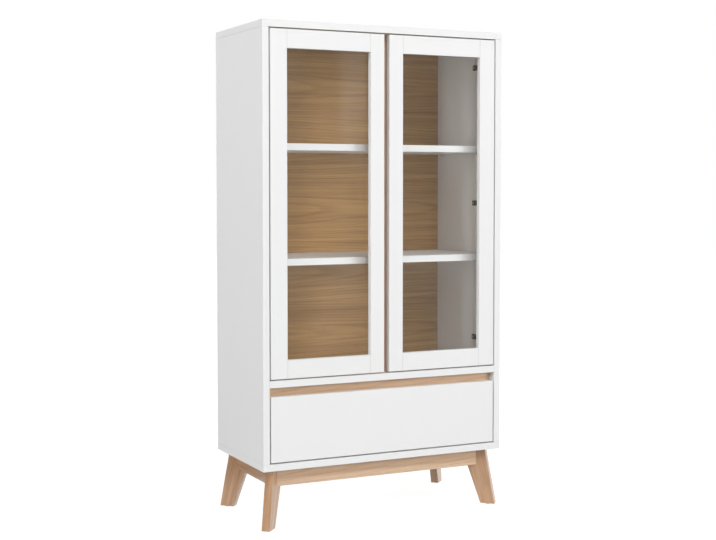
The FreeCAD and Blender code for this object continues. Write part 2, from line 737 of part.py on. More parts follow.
def runners():
    """Roller runners: a channel on the side panel, an angle under the drawer side, and a roller on each."""
    box_base = bottom_top + drawer_box_lift
    z = box_base + roller_lift
    track = z - roller_radius - roller_clearance
    guide = z + roller_radius + roller_clearance
    m = runner_metal
    y0 = front + runner_front_inset
    y1 = y0 + runner_length
    front_y = y0 + roller_radius
    drawer_y0 = front + drawer_front_thickness
    drawer_y1 = drawer_y0 + drawer_box_depth
    rear_y = drawer_y1 - roller_radius
    top = guide + m + runner_screw_tab
    web_w = runner_space - m
    for name, side in sides.items():
        outline = [(0, track - m), (runner_flange_width, track - m), (runner_flange_width, track), (m, track),
                   (m, guide), (runner_guide_width, guide), (runner_guide_width, guide + m), (m, guide + m),
                   (m, top), (0, top)]
        channel = runner_profile(side, outline, y0, y1)
        front_w = m + roller_side_gap
        front_head = front_w + roller_width + screw_fit
        stub = axle(side, 0, front_head, front_head, front_y, z)
        node = name + "_cabinet_runner"
        put(node, channel.fuse(stub).removeSplitter())
        roller("front_rollers", side, front_w, front_y, z)
        for y in (y0 + runner_screw_inset, (y0 + y1) / 2, y1 - runner_screw_inset):
            seat = runner_point(side, m, y, (guide + m + top) / 2)
            panel_screw("side_panel_screws", node, name + "_side_panel", seat, V(side, 0, 0))
        ledge = box_base - m
        lip_w = runner_space - drawer_flange_width
        ledge_w = runner_space + drawer_ledge_width
        outline = [(lip_w, guide), (web_w, guide), (web_w, ledge), (ledge_w, ledge), (ledge_w, box_base),
                   (runner_space, box_base), (runner_space, guide + m), (lip_w, guide + m)]
        angle = runner_profile(side, outline, drawer_y0, drawer_y1)
        rear_w = web_w - roller_side_gap / 2 - roller_width
        rear_head = rear_w - screw_fit
        stub = axle(side, web_w + m, rear_head, rear_head, rear_y, z)
        node = "drawer_" + name + "_runner"
        put(node, angle.fuse(stub).removeSplitter())
        roller("rear_rollers", side, rear_w, rear_y, z)
        drawer_middle = (drawer_y0 + drawer_y1) / 2
        for y in (drawer_y0 + runner_screw_inset, drawer_middle, drawer_y1 - runner_screw_inset):
            seat = runner_point(side, runner_space + drawer_side_thickness / 2, y, ledge)
            panel_screw("drawer_screws", node, "drawer_" + name + "_side", seat, V(0, 0, 1))


def write():
    """Cuts the holes of every node and writes it."""
    os.makedirs("parts", exist_ok=True)
    for node, shapes in pieces.items():
        solids = []
        for shape in shapes:
            cutters = [c for c in holes.get(node, []) if c.BoundBox.intersect(shape.BoundBox)]
            if cutters:
                shape = shape.cut(cutters)
            solids.extend(shape.Solids)
        result = solids[0] if len(solids) == 1 else Part.makeCompound(solids)
        result.exportStep("parts/" + node + ".step")


carcass()
back()
grip_boards()
shelves()
base()
doors()
drawer()
runners()
write()
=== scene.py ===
"""White and oak kitchen buffet with two glass doors and a drawer: its finishes, stage and camera."""

import json
import math

import bpy
import numpy as np
from bpy.props import FloatProperty, FloatVectorProperty, PointerProperty
from bpy.types import Operator, Panel, PropertyGroup
from mathutils import Euler, Matrix, Vector


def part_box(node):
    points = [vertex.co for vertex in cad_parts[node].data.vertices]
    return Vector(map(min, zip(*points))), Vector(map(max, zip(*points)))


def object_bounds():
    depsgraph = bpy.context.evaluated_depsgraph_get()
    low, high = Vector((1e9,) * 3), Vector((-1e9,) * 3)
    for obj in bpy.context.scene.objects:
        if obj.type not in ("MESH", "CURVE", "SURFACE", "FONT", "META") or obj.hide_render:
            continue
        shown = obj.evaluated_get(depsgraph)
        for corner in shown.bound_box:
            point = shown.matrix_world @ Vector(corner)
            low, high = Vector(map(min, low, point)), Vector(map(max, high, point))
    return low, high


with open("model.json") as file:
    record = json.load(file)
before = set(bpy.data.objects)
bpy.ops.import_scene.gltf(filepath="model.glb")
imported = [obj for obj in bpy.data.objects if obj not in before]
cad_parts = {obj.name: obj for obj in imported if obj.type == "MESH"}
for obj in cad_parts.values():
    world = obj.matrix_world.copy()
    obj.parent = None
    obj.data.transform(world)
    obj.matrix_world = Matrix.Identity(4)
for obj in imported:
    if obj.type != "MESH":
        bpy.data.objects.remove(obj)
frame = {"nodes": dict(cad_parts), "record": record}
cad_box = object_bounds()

bl_info = {
    "name": "Kitchen Buffet",
    "version": (1, 0, 0),
    "blender": (4, 5, 0),
    "location": "View3D > Sidebar > Buffet",
    "description": "Finishes, stage and camera of a white and oak kitchen buffet",
    "category": "Object",
}

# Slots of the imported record, and the nodes that take each of them.
slot_nodes = {}
for subpart in frame["record"]["subparts"]:
    slot_nodes.setdefault(subpart["material_slot"], []).append(subpart["node"])

# Boards whose grain runs along X, along Y or upright. The grain of the legs leans with them.
oak_grain_axes = {
    "grip_rail": "X",
    "front_base_rail": "X",
    "rear_base_rail": "X",
    "left_base_rail": "Y",
    "right_base_rail": "Y",
    "centre_post": "Z",
}
# Boards given paler oak than the legs; on these front boards the paler tone is partly painted light and
# sheen.
pale_and_lit_oak = ("grip_rail", "centre_post", "front_base_rail")
# Place of the pith behind a board's broad face, for the curve of its rings, in metres.
pith_beside = 0.035
pith_below = 0.095
# A leaf of veneer: depth of its pith as a share of its height, and how far chance shifts it, in metres.
leaf_pith_share = 0.2
leaf_shift = 5.0
# Signs of X and Y at each leg's corner.
leg_corners = {
    "front_left_leg": (-1, -1),
    "front_right_leg": (1, -1),
    "rear_left_leg": (-1, 1),
    "rear_right_leg": (1, 1),
}
# Heights in metres over which a reflected window fades in and out, and the same across it, as shares of the
# step from one window to the next.
window_foot = (0.9, 1.6)
window_head = (2.2, 3.0)
window_start_shares = (0.3, 0.45)
window_end_shares = (0.55, 0.7)


def colour(name, description, default):
    """A colour that a user may change."""
    return FloatVectorProperty(name=name, description=description, default=default,
                               subtype="COLOR", size=3, min=0, max=1)


def length(name, description, default):
    """A length in metres that a user may change."""
    return FloatProperty(name=name, description=description, default=default,
                         unit="LENGTH", precision=5, min=0)


def share(name, description, default):
    """A share from nothing to all that a user may change."""
    return FloatProperty(name=name, description=description, default=default,
                         subtype="FACTOR", min=0, max=1)


def angle(name, description, default):
    """An angle, given in degrees, that a user may change."""
    return FloatProperty(name=name, description=description, default=math.radians(default),
                         subtype="ANGLE", unit="ROTATION")


def power(name, description, default):
    """Power of a lamp in watts that a user may change."""
    return FloatProperty(name=name, description=description, default=default, unit="POWER", min=0)


def position(name, description, default):
    """A place in metres that a user may change."""
    return FloatVectorProperty(name=name, description=description, default=default,
                               subtype="XYZ", unit="LENGTH")


class BoardSettings(PropertyGroup):
    """White melamine of the panels, shelves, door frames and drawer."""

    white: colour("White", "Colour of the melamine face", (0.86, 0.86, 0.86))
    # This edge colour is also painted seam shade along every board edge, besides wear.
    worn_and_seam_shade: colour("Worn edge", "Colour of the handled edges", (0.62, 0.61, 0.59))
    roughness: share("Roughness", "Mean roughness of the face", 0.42)
    pebble: length("Pebble", "Size of the pressed pebble in the face", 0.0011)
    pebble_depth: length("Pebble depth", "Depth of the pressed pebble", 0.00003)
    worn_and_seam_shade_width: length("Worn width", "How far from an edge the handling shows", 0.0022)
    specular: share("Specular", "Strength of the face's sheen", 0.4)
    core: colour("Core", "Colour of the raw chipboard in a panel's holes and grooves", (0.30, 0.21, 0.13))
    skin: length("Skin", "Depth under a panel's faces where the raw chipboard starts", 0.0008)


class OakSettings(PropertyGroup):
    """Lacquered solid oak of the legs, base rails, grip rail and post."""

    light: colour("Light wood", "Colour of the late wood", (0.65, 0.40, 0.235))
    dark: colour("Dark wood", "Colour of the early wood", (0.33, 0.163, 0.071))
    # These pale colours are partly painted light and sheen on the front boards.
    pale_and_lit_light: colour("Pale light wood", "Colour of the late wood of the paler boards", (0.85, 0.62, 0.43))
    pale_and_lit_dark: colour("Pale dark wood", "Colour of the early wood of the paler boards", (0.54, 0.32, 0.18))
    pore: colour("Pore", "Colour of the open pores", (0.24, 0.13, 0.07))
    ring: length("Ring", "Width of one growth ring", 0.0042)
    pore_depth: length("Pore depth", "Depth of the pores under the lacquer", 0.00012)
    coat: share("Coat", "Weight of the lacquer", 1.0)
    coat_roughness: share("Coat roughness", "Roughness of the lacquer", 0.2)
    leg_lean: angle("Leg lean", "Lean of the legs' grain from upright", 15.3)


class VeneerSettings(PropertyGroup):
    """Oak face and plain rear of the back panel."""

    light: colour("Light veneer", "Colour of the late wood", (0.63, 0.37, 0.139))
    dark: colour("Dark veneer", "Colour of the early wood", (0.30, 0.15, 0.044))
    pore: colour("Pore", "Colour of the printed pores", (0.17, 0.095, 0.05))
    ring: length("Ring", "Width of one growth ring", 0.0075)
    leaf: length("Leaf", "Height of one leaf of veneer", 0.21)
    rear: colour("Rear", "Colour of the plain hardboard behind", (0.42, 0.29, 0.18))
    rear_shade: share("Rear shade", "Share of the rear's colour that its dark patches keep", 0.6)
    fibre: length("Fibre", "Length of a fibre in the hardboard", 0.004)


class GlassSettings(PropertyGroup):
    """Clear panes of the doors."""

    tint: colour("Tint", "Colour that the glass gives to light", (0.985, 0.995, 0.99))
    index: FloatProperty(name="Index", description="Index of refraction", default=1.45, min=1)
    smear: share("Smear", "Weight of the faint smears", 0.35)
    smear_roughness: share("Smear roughness", "Roughness of the faint smears", 0.25)


class MetalSettings(PropertyGroup):
    """Plated, cast and coated fittings."""

    hinge: colour("Hinge", "Dark nickel of the hinges", (0.13, 0.125, 0.12))
    screw: colour("Screw", "Zinc plate of the screws and pins", (0.62, 0.62, 0.60))
    cam: colour("Cam", "Cast zinc of the cam fittings", (0.47, 0.47, 0.46))
    runner: colour("Runner", "White powder coat of the runners", (0.80, 0.80, 0.78))
    grit: length("Grit", "Size of the mottle in the plating", 0.0008)


class SmallSettings(PropertyGroup):
    """Rollers, clips, dowels and glides."""

    nylon: colour("Nylon", "Natural nylon of the rollers", (0.75, 0.75, 0.71))
    clip: colour("Clip", "White plastic of the glass clips", (0.82, 0.82, 0.80))
    beech: colour("Beech", "Beech of the dowels", (0.62, 0.45, 0.29))
    glide: colour("Glide", "Black plastic of the foot glides", (0.035, 0.035, 0.037))
    grain: length("Grain", "Size of the moulded grain", 0.0006)


class StageSettings(PropertyGroup):
    """Floor, light and camera."""

    floor: colour("Floor", "Colour of the floor", (0.34, 0.34, 0.34))
    floor_speck: share("Floor speck", "Share of the floor's colour that its specks keep", 0.98)
    floor_roughness: share("Floor roughness", "Roughness of the floor", 0.9)
    floor_lift: share("Floor lift", "How much white the floor shows where it is seen", 0.86)
    floor_radius: length("Floor radius", "Reach of the floor round the cabinet", 16.0)
    ambient: FloatProperty(name="Ambient", description="Level of the even light from all round",
                           default=0.72, min=0)
    overhead: share("Overhead", "Level overhead as a share of the even light", 0.78)
    key_power: power("Key power", "Power of the lamp at the front right", 830.0)
    key_place: position("Key place", "Place of the lamp at the front right", (7.2, -12.9, 3.4))
    key_size: length("Key size", "Side of the lamp at the front right", 6.0)
    front_power: power("Front power", "Power of the lamp above the camera", 190.0)
    front_place: position("Front place", "Place of the lamp above the camera", (-1.0, -7.0, 6.3))
    front_size: length("Front size", "Side of the lamp above the camera", 3.5)
    fill_power: power("Fill power", "Power of the lamp at the left", 290.0)
    fill_place: position("Fill place", "Place of the lamp at the left", (-8.9, -1.6, 2.1))
    fill_size: length("Fill size", "Side of the lamp at the left", 2.4)
    wall: colour("Wall", "Brightness of the dim room that the panes reflect", (0.03, 0.03, 0.03))
    wall_radius: length("Wall radius", "Distance of the dim room's wall", 7.0)
    wall_height: length("Wall height", "Height of the dim room's wall", 5.0)
    wall_inner: length("Wall inner", "Inner reach of the dim floor before the wall", 0.75)
    wall_lift: length("Wall lift", "Lift of the dim floor over the floor", 0.003)
    window: colour("Window", "Brightness of the windows that the panes reflect", (1.0, 1.0, 1.0))
    window_power: FloatProperty(name="Window power", description="Strength of the wall and its windows",
                                default=2.0, min=0)
    window_step: angle("Window step", "Angle from one window to the next", 7.0)
    wall_left: angle("Wall left", "How far the wall reaches to the left of straight ahead", 165.0)
    wall_right: angle("Wall right", "How far the wall reaches to the right of straight ahead", 75.0)
    camera_place: position("Camera place", "Place of the camera", (-1.9186, -3.9041, 1.0687))
    camera_turn: angle("Camera turn", "Turn of the camera to the right of straight on", 26.139)
    camera_tilt: angle("Camera tilt", "Tilt of the camera below level", 2.769)
    camera_lens: FloatProperty(name="Camera lens", description="Focal length in millimetres",
                               default=65.92, min=1)
    camera_shift: FloatProperty(name="Camera shift", description="Upright shift over the picture's width",
                                default=-0.03)


class BuffetSettings(PropertyGroup):
    """All settings of the buffet."""

    board: PointerProperty(name="Board", description="White melamine", type=BoardSettings)
    oak: PointerProperty(name="Oak", description="Solid oak", type=OakSettings)
    veneer: PointerProperty(name="Veneer", description="Back panel", type=VeneerSettings)
    glass: PointerProperty(name="Glass", description="Door panes", type=GlassSettings)
    metal: PointerProperty(name="Metal", description="Fittings", type=MetalSettings)
    small: PointerProperty(name="Small pieces", description="Plastic and dowels", type=SmallSettings)
    stage: PointerProperty(name="Stage", description="Floor, light and camera", type=StageSettings)


# Shader nodes

def node(tree, kind, inputs=None, **fields):
    """Adds a shader node, with its own settings as fields and its values or sockets as inputs."""
    made = tree.nodes.new(kind)
    for field, value in fields.items():
        setattr(made, field, value)
    for name, value in (inputs or {}).items():
        if isinstance(value, bpy.types.NodeSocket):
            tree.links.new(value, made.inputs[name])
        else:
            made.inputs[name].default_value = value
    return made


def maths(tree, operation, *values):
    """Result of a scalar operation on values or sockets."""
    return node(tree, "ShaderNodeMath", dict(enumerate(values)), operation=operation).outputs[0]


def vector_maths(tree, operation, *values):
    """Result of a vector operation on values or sockets."""
    return node(tree, "ShaderNodeVectorMath", dict(enumerate(values)), operation=operation).outputs[0]


def noise(tree, place, stretch, detail=2.0, roughness=0.5):
    """Noise from 0 to 1, with stretch giving the features per metre along each axis."""
    scaled = vector_maths(tree, "MULTIPLY", place, stretch)
    inputs = {"Vector": scaled, "Scale": 1.0, "Detail": detail, "Roughness": roughness}
    return node(tree, "ShaderNodeTexNoise", inputs).outputs["Fac"]


def ramp(tree, value, low, high, bottom=0.0, top=1.0):
    """Smooth step of a value, from bottom at low to top at high."""
    inputs = {"Value": value, "From Min": low, "From Max": high, "To Min": bottom, "To Max": top}
    return node(tree, "ShaderNodeMapRange", inputs, interpolation_type="SMOOTHSTEP").outputs["Result"]


def blend(tree, factor, first, second):
    """Colour between two colours."""
    made = node(tree, "ShaderNodeMix", {"Factor": factor}, data_type="RGBA")
    for socket, value in zip(made.inputs[6:8], (first, second)):
        if isinstance(value, bpy.types.NodeSocket):
            tree.links.new(value, socket)
        else:
            socket.default_value = value
    return made.outputs[2]


def group(name, inputs, outputs):
    """Starts a shader node group and returns its tree, its inputs by name and its output node."""
    tree = bpy.data.node_groups.new(name, "ShaderNodeTree")
    for socket, kind in inputs.items():
        tree.interface.new_socket(name=socket, in_out="INPUT", socket_type="NodeSocket" + kind)
    for socket, kind in outputs.items():
        tree.interface.new_socket(name=socket, in_out="OUTPUT", socket_type="NodeSocket" + kind)
    given = tree.nodes.new("NodeGroupInput").outputs
    return tree, given, tree.nodes.new("NodeGroupOutput")


def send(tree, result, **sockets):
    """Links sockets to the outputs of a group, by name."""
    for name, socket in sockets.items():
        tree.links.new(socket, result.inputs[name])


def by_chance(tree, number):
    """A value from 0 to 1 that chance gives to each whole number."""
    return node(tree, "ShaderNodeTexWhiteNoise", {"W": number}, noise_dimensions="1D").outputs["Value"]


def fine_noise(tree, place, size, detail):
    """Noise from 0 to 1 whose features have a size given by a socket."""
    sizes = node(tree, "ShaderNodeCombineXYZ", {"X": size, "Y": size, "Z": size}).outputs[0]
    fine = vector_maths(tree, "DIVIDE", place, sizes)
    return node(tree, "ShaderNodeTexNoise", {"Vector": fine, "Scale": 1.0, "Detail": detail}).outputs["Fac"]


def opaque(value):
    """Colour with its alpha."""
    return (*value, 1.0)


def oak_group():
    """Grain of sawn oak, along X: rings round a tilted pith, with pores in the early wood of each ring.

    A ring's phase is the distance from the pith line, plus a taper along the board and a slow warp,
    over the ring's width. The early wood is the first part of each ring, as strong as chance makes
    that ring. The streaks and pores are noise drawn out along X.
    """
    warp_scale = (1.3, 10, 10)
    streak_scale = (1.7, 75, 75)
    broad_scale = (0.9, 14, 14)
    pore_scale = (50, 2300, 2300)
    warp_reach = 0.024
    taper_slope = 0.03
    early_rise = (0.0, 0.12)
    early_fall = (0.2, 0.75)
    least_early = 0.2
    pore_edge = (0.56, 0.66)
    least_pores = 0.25
    early_weight, streak_weight, broad_weight, tone_base = 0.26, 1.5, 0.6, 0.08
    pore_weight = 0.5
    streak_gloss, pore_gloss, gloss_base = 0.14, 0.15, 0.34
    inputs = {"Vector": "Vector", "Light": "Color", "Dark": "Color", "Pore": "Color", "Ring": "Float"}
    outputs = {"Color": "Color", "Roughness": "Float", "Height": "Float"}
    tree, given, result = group("oak grain", inputs, outputs)
    place = given["Vector"]
    parts = node(tree, "ShaderNodeSeparateXYZ", {"Vector": place}).outputs
    warp = maths(tree, "MULTIPLY_ADD", noise(tree, place, warp_scale), warp_reach, -warp_reach / 2)
    y = maths(tree, "ADD", parts["Y"], pith_beside)
    z = maths(tree, "ADD", parts["Z"], pith_below)
    radius = maths(tree, "SQRT", maths(tree, "MULTIPLY_ADD", y, y, maths(tree, "MULTIPLY", z, z)))
    taper = maths(tree, "MULTIPLY_ADD", parts["X"], taper_slope, warp)
    turns = maths(tree, "DIVIDE", maths(tree, "ADD", radius, taper), given["Ring"])
    phase = maths(tree, "FRACT", turns)
    chance = by_chance(tree, maths(tree, "FLOOR", turns))
    early = maths(tree, "MULTIPLY", ramp(tree, phase, *early_rise),
                  ramp(tree, phase, *early_fall, 1.0, 0.0))
    strength = maths(tree, "MULTIPLY_ADD", chance, 1 - least_early, least_early)
    early = maths(tree, "MULTIPLY", early, strength)
    streaks = noise(tree, place, streak_scale, detail=6.0, roughness=0.68)
    broad = noise(tree, place, broad_scale)
    drawn = noise(tree, place, pore_scale)
    pores = maths(tree, "MULTIPLY", ramp(tree, drawn, *pore_edge),
                  maths(tree, "MULTIPLY_ADD", early, 1 - least_pores, least_pores))
    streaked = maths(tree, "MULTIPLY_ADD", streaks, streak_weight, -streak_weight / 2)
    tone = maths(tree, "MULTIPLY_ADD", early, early_weight, streaked)
    tone = maths(tree, "ADD", tone, maths(tree, "MULTIPLY_ADD", broad, broad_weight, tone_base))
    tone = node(tree, "ShaderNodeClamp", {"Value": tone}).outputs[0]
    wood = blend(tree, tone, given["Light"], given["Dark"])
    wood = blend(tree, maths(tree, "MULTIPLY", pores, pore_weight), wood, given["Pore"])
    gloss = maths(tree, "MULTIPLY_ADD", pores, pore_gloss, gloss_base)
    gloss = maths(tree, "MULTIPLY_ADD", streaks, streak_gloss, gloss)
    send(tree, result, Color=wood, Roughness=gloss, Height=maths(tree, "SUBTRACT", 1.0, pores))
    return tree


def board_group():
    """Pressed white melamine: a faint mottle, a fine pebble, edges darkened by wear and by painted seam
    shade, and a core that holes lay bare.

    The distance to the nearest edge of a board is the middle one of the three distances to its faces.
    The least of the three is the depth under the faces, which is nothing but in a hole or a groove.
    Along every edge a steady darkening is painted shade for the seams between boards; wear patches come on
    top.
    """
    patch_scale = (22, 22, 22)
    mottle_scale = (3.5, 3.5, 3.5)
    worn_and_seam_shade_edge = (0.1, 1.0)
    patch_edge = (0.42, 0.72)
    least_handled_and_seam_shade = 0.6
    core_edge = (0.8, 1.2)
    mottle_weight, handled_and_seam_shade_weight = 0.12, 0.55
    mottle_gloss, handled_and_seam_shade_gloss, core_gloss = 0.16, 0.12, 0.35
    inputs = {"Vector": "Vector", "Centre": "Vector", "Half Size": "Vector", "White": "Color",
              "Worn": "Color", "Core": "Color", "Roughness": "Float", "Pebble": "Float",
              "Worn Width": "Float", "Skin": "Float"}
    outputs = {"Color": "Color", "Roughness": "Float", "Height": "Float"}
    tree, given, result = group("white melamine", inputs, outputs)
    place = given["Vector"]
    reach = vector_maths(tree, "ABSOLUTE", vector_maths(tree, "SUBTRACT", place, given["Centre"]))
    inside = vector_maths(tree, "SUBTRACT", given["Half Size"], reach)
    by_x, by_y, by_z = node(tree, "ShaderNodeSeparateXYZ", {"Vector": inside}).outputs
    nearer = maths(tree, "MINIMUM", by_x, by_y)
    farther = maths(tree, "MAXIMUM", by_x, by_y)
    middle = maths(tree, "MAXIMUM", nearer, maths(tree, "MINIMUM", farther, by_z))
    # Painted shade: a steady darkening along every edge stands in for the seam shadows; the patches add
    # wear.
    near = ramp(tree, maths(tree, "DIVIDE", middle, given["Worn Width"]), *worn_and_seam_shade_edge, 1.0, 0.0)
    patches = ramp(tree, noise(tree, place, patch_scale, detail=3.0), *patch_edge)
    patches = maths(tree, "MULTIPLY_ADD", patches, 1 - least_handled_and_seam_shade, least_handled_and_seam_shade)
    handled_and_seam_shade = maths(tree, "MULTIPLY", near, patches)
    mottle = noise(tree, place, mottle_scale, detail=3.0)
    mottled = maths(tree, "MULTIPLY_ADD", mottle, mottle_weight, -mottle_weight / 4)
    face = blend(tree, mottled, given["White"], given["Worn"])
    face = blend(tree, maths(tree, "MULTIPLY", handled_and_seam_shade, handled_and_seam_shade_weight), face, given["Worn"])
    least = maths(tree, "MINIMUM", nearer, by_z)
    bare = ramp(tree, maths(tree, "DIVIDE", least, given["Skin"]), *core_edge)
    face = blend(tree, bare, face, given["Core"])
    pebble = fine_noise(tree, place, given["Pebble"], detail=1.0)
    gloss = maths(tree, "MULTIPLY_ADD", mottle, mottle_gloss, -mottle_gloss / 2)
    gloss = maths(tree, "ADD", given["Roughness"], gloss)
    gloss = maths(tree, "MULTIPLY_ADD", handled_and_seam_shade, handled_and_seam_shade_gloss, gloss)
    gloss = maths(tree, "MULTIPLY_ADD", bare, core_gloss, gloss)
    send(tree, result, Color=face, Roughness=gloss, Height=pebble)
    return tree


def grit_group():
    """Uneven skin of plated, cast, coated or moulded pieces: a slow cloud and a fine grit."""
    cloud_scale = (70, 70, 70)
    cloud_weight, grit_weight, tone_base = 0.7, 0.5, -0.35
    cloud_gloss = 0.24
    inputs = {"Vector": "Vector", "Base": "Color", "Shade": "Color", "Roughness": "Float", "Grit": "Float"}
    outputs = {"Color": "Color", "Roughness": "Float", "Height": "Float"}
    tree, given, result = group("gritty skin", inputs, outputs)
    place = given["Vector"]
    grit = fine_noise(tree, place, given["Grit"], detail=2.0)
    cloud = noise(tree, place, cloud_scale, detail=3.0)
    tone = maths(tree, "MULTIPLY_ADD", grit, grit_weight, tone_base)
    tone = maths(tree, "MULTIPLY_ADD", cloud, cloud_weight, tone)
    tone = node(tree, "ShaderNodeClamp", {"Value": tone}).outputs[0]
    skin = blend(tree, tone, given["Base"], given["Shade"])
    gloss = maths(tree, "MULTIPLY_ADD", cloud, cloud_gloss, -cloud_gloss / 2)
    gloss = maths(tree, "ADD", given["Roughness"], gloss)
    send(tree, result, Color=skin, Roughness=gloss, Height=grit)
    return tree


shared_groups = {}


def shared(maker):
    """A shader node group, built once."""
    if maker.__name__ not in shared_groups:
        shared_groups[maker.__name__] = maker()
    return shared_groups[maker.__name__]


def material(name):
    """Starts a material and returns it with its tree, its shader and the object's own coordinates."""
    made = bpy.data.materials.new(name)
    made.use_nodes = True
    tree = made.node_tree
    shader = tree.nodes["Principled BSDF"]
    place = tree.nodes.new("ShaderNodeTexCoord").outputs["Object"]
    return made, tree, shader, place


def effect(tree, maker, **inputs):
    """Outputs of a shared group in a material. Its inputs come by name, where _ stands for a space."""
    named = {key.replace("_", " "): value for key, value in inputs.items()}
    return node(tree, "ShaderNodeGroup", named, node_tree=shared(maker)).outputs


def wear_skin(tree, shader, skin, depth):
    """Links a skin's colour, roughness and height to a shader, with the height's depth in metres."""
    tree.links.new(skin["Color"], shader.inputs["Base Color"])
    tree.links.new(skin["Roughness"], shader.inputs["Roughness"])
    bump = node(tree, "ShaderNodeBump", {"Height": skin["Height"], "Strength": 1.0, "Distance": depth})
    tree.links.new(bump.outputs["Normal"], shader.inputs["Normal"])


def dress(name, made):
    """Puts a material in every slot of a node."""
    slots = frame["nodes"][name].material_slots
    for slot in slots:
        slot.material = made


# Finishes

def board_finish(name, settings):
    """White melamine of one board, with wear and painted seam shade along the edges of its own box.
    Only a panel shows its core.
    """
    low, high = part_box(name)
    made, tree, shader, place = material("white melamine " + name)
    core = settings.core if name.endswith("_panel") else settings.white
    skin = effect(tree, board_group, Vector=place, Centre=(low + high) / 2, Half_Size=(high - low) / 2,
                  White=opaque(settings.white), Worn=opaque(settings.worn_and_seam_shade), Core=opaque(core),
                  Roughness=settings.roughness, Pebble=settings.pebble,
                  Worn_Width=settings.worn_and_seam_shade_width, Skin=settings.skin)
    wear_skin(tree, shader, skin, settings.pebble_depth)
    shader.inputs["Specular IOR Level"].default_value = settings.specular
    return made


def along_grain(tree, place, along, face, centre):
    """Coordinates whose X runs along the grain and whose Z leaves the broad face of a board."""
    across = face.cross(along)
    turn = Matrix((along, across, face))
    inputs = {"Vector": place, "Location": turn @ -centre, "Rotation": turn.to_euler()}
    return node(tree, "ShaderNodeMapping", inputs).outputs["Vector"]


def oak_finish(name, along, face, settings, light, dark):
    """Lacquered oak of one board, with its own tones and its own stretch of grain."""
    low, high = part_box(name)
    made, tree, shader, place = material("lacquered oak " + name)
    grain = along_grain(tree, place, along, face, (low + high) / 2)
    skin = effect(tree, oak_group, Vector=grain, Light=opaque(light), Dark=opaque(dark),
                  Pore=opaque(settings.pore), Ring=settings.ring)
    wear_skin(tree, shader, skin, settings.pore_depth)
    shader.inputs["Coat Weight"].default_value = settings.coat
    shader.inputs["Coat Roughness"].default_value = settings.coat_roughness
    return made


def veneer_leaves(tree, grain, leaf):
    """Coordinates of the veneer's leaves: each is centred on its own pith and shifted by chance."""
    parts = node(tree, "ShaderNodeSeparateXYZ", {"Vector": grain}).outputs
    band = maths(tree, "FLOOR", maths(tree, "DIVIDE", parts["Y"], leaf))
    centre = maths(tree, "MULTIPLY", maths(tree, "ADD", band, 0.5), leaf)
    x = maths(tree, "MULTIPLY_ADD", by_chance(tree, band), leaf_shift, parts["X"])
    y = maths(tree, "SUBTRACT", maths(tree, "SUBTRACT", parts["Y"], centre), pith_beside)
    z = maths(tree, "ADD", parts["Z"], leaf_pith_share * leaf - pith_below)
    return node(tree, "ShaderNodeCombineXYZ", {"X": x, "Y": y, "Z": z}).outputs["Vector"]


def back_finish(name, settings):
    """Oak veneer in front, with level grain, and plain fibre board behind the middle of the panel."""
    cloud_scale = (6, 6, 6)
    fibre_scale = (1 / settings.fibre, 1 / settings.fibre, 1 / settings.fibre)
    cloud_weight, fibre_weight, tone_base = 0.9, 0.6, -0.25
    rear_gloss = 0.3
    low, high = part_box(name)
    centre = (low + high) / 2
    made, tree, shader, place = material("oak veneer")
    grain = along_grain(tree, place, Vector((1, 0, 0)), Vector((0, -1, 0)), centre)
    leaves = veneer_leaves(tree, grain, settings.leaf)
    skin = effect(tree, oak_group, Vector=leaves, Light=opaque(settings.light), Dark=opaque(settings.dark),
                  Pore=opaque(settings.pore), Ring=settings.ring)
    fibres = noise(tree, place, fibre_scale, detail=4.0, roughness=0.7)
    shade = tuple(settings.rear_shade * value for value in settings.rear)
    cloud = noise(tree, place, cloud_scale, detail=4.0, roughness=0.6)
    tone = maths(tree, "MULTIPLY_ADD", fibres, fibre_weight, tone_base)
    tone = maths(tree, "MULTIPLY_ADD", cloud, cloud_weight, tone)
    plain = blend(tree, tone, opaque(settings.rear), opaque(shade))
    depth = node(tree, "ShaderNodeSeparateXYZ", {"Vector": place}).outputs["Y"]
    behind = maths(tree, "GREATER_THAN", depth, centre.y)
    tree.links.new(blend(tree, behind, skin["Color"], plain), shader.inputs["Base Color"])
    gloss = maths(tree, "MULTIPLY_ADD", behind, rear_gloss, skin["Roughness"])
    tree.links.new(gloss, shader.inputs["Roughness"])
    return made


def glass_finish(settings):
    """Clear glass with faint smears. Lamps shine through it to what is behind."""
    smear_scale = (9, 9, 3)
    smear_edge = (0.45, 0.8)
    made, tree, shader, place = material("clear glass")
    cloud = noise(tree, place, smear_scale, detail=4.0)
    smear = maths(tree, "MULTIPLY", ramp(tree, cloud, *smear_edge), settings.smear)
    tree.links.new(smear, shader.inputs["Coat Weight"])
    shader.inputs["Coat Roughness"].default_value = settings.smear_roughness
    shader.inputs["Base Color"].default_value = opaque(settings.tint)
    shader.inputs["Roughness"].default_value = 0.0
    shader.inputs["Transmission Weight"].default_value = 1.0
    shader.inputs["IOR"].default_value = settings.index
    clear = node(tree, "ShaderNodeBsdfTransparent", {"Color": opaque((1, 1, 1))})
    ray = tree.nodes.new("ShaderNodeLightPath")
    both = node(tree, "ShaderNodeMixShader", {0: ray.outputs["Is Shadow Ray"], 1: shader.outputs[0],
                                              2: clear.outputs[0]})
    tree.links.new(both.outputs[0], tree.nodes["Material Output"].inputs["Surface"])
    return made


def grit_finish(name, base, grit, shade_share, roughness, depth, metallic=0.0):
    """Plated, cast, coated or moulded finish, with its grit's size and depth in metres."""
    made, tree, shader, place = material(name)
    shade = tuple(value * shade_share for value in base)
    skin = effect(tree, grit_group, Vector=place, Base=opaque(base), Shade=opaque(shade),
                  Roughness=roughness, Grit=grit)
    wear_skin(tree, shader, skin, depth)
    shader.inputs["Metallic"].default_value = metallic
    return made


# Operators

class BUFFET_OT_boards(Operator):
    """Gives every white board its melamine"""

    bl_idname = "buffet.boards"
    bl_label = "White boards"

    def execute(self, context):
        for name in slot_nodes["white_board"]:
            dress(name, board_finish(name, context.scene.buffet.board))
        return {"FINISHED"}


